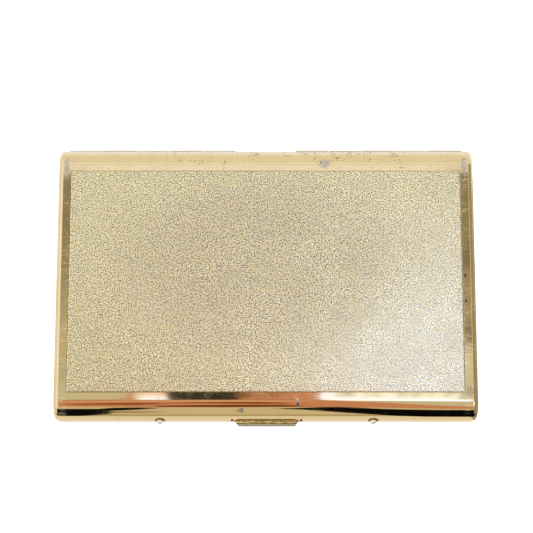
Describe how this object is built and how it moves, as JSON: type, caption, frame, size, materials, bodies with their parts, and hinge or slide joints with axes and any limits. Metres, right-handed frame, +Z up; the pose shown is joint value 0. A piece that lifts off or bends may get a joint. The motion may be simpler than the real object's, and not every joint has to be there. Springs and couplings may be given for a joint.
{
  "type": "business card case",
  "caption": "Slim rectangular hinged metal case for business cards, with rolled long edges, stippled panels, a front thumb latch and a sprung arm that holds the cards.",
  "frame": {"origin": "centre of the face that the closed case rests on, the underside of the base panel", "axes": "+X along the case's long side, +Y towards the hinges, +Z up through the lid; the thumb latch is at -Y"},
  "size_m": [0.096, 0.0652, 0.0111],
  "materials": {
    "gold_polished": "polished pale gold plate, lightly worn at the edges",
    "gold_stippled": "fine stippled pale gold, matt with sparkle",
    "gold_satin": "satin pale gold",
    "brass_worn": "bare brass, rubbed and scratched",
    "steel_bright": "bright steel",
    "steel_spring": "grey spring steel"
  },
  "bodies": {
    "base": {"base_shell": "gold_polished", "base_panel": "gold_stippled", "base_liner": "gold_satin", "keeper": "steel_bright", "hinge_base_left": "gold_polished", "hinge_base_right": "gold_polished", "hinge_pin_left": "steel_bright", "hinge_pin_right": "steel_bright", "arm_bracket": "gold_satin", "bracket_rivet_left": "steel_bright", "bracket_rivet_right": "steel_bright", "arm_pin": "steel_bright"},
    "lid": {"lid_shell": "gold_polished", "lid_panel": "gold_stippled", "lid_liner": "gold_satin", "hinge_lid_left": "gold_polished", "hinge_lid_right": "gold_polished", "latch_spring": "steel_spring", "latch_rivet_left": "steel_bright", "latch_rivet_right": "steel_bright"},
    "latch": {"latch_button": "brass_worn"},
    "card_arm": {"card_arm": "gold_satin", "arm_spring": "steel_spring"}
  },
  "joints": [
    {"name": "lid_hinge", "type": "hinge", "parent": "base", "child": "lid", "pos_m": [0, 0.03175, 0.00555], "axis": [-1, 0, 0], "range_deg": [0, 180]},
    {"name": "latch_press", "type": "slide", "parent": "lid", "child": "latch", "axis": [0, 1, 0], "range_m": [0, 0.0008], "stiffness_N_per_m": 1500},
    {"name": "card_arm_lift", "type": "hinge", "parent": "base", "child": "card_arm", "pos_m": [0, 0.026, 0.0027], "axis": [-1, 0, 0], "range_deg": [0, 9], "stiffness_Nm_per_rad": 0.02}
  ]
}
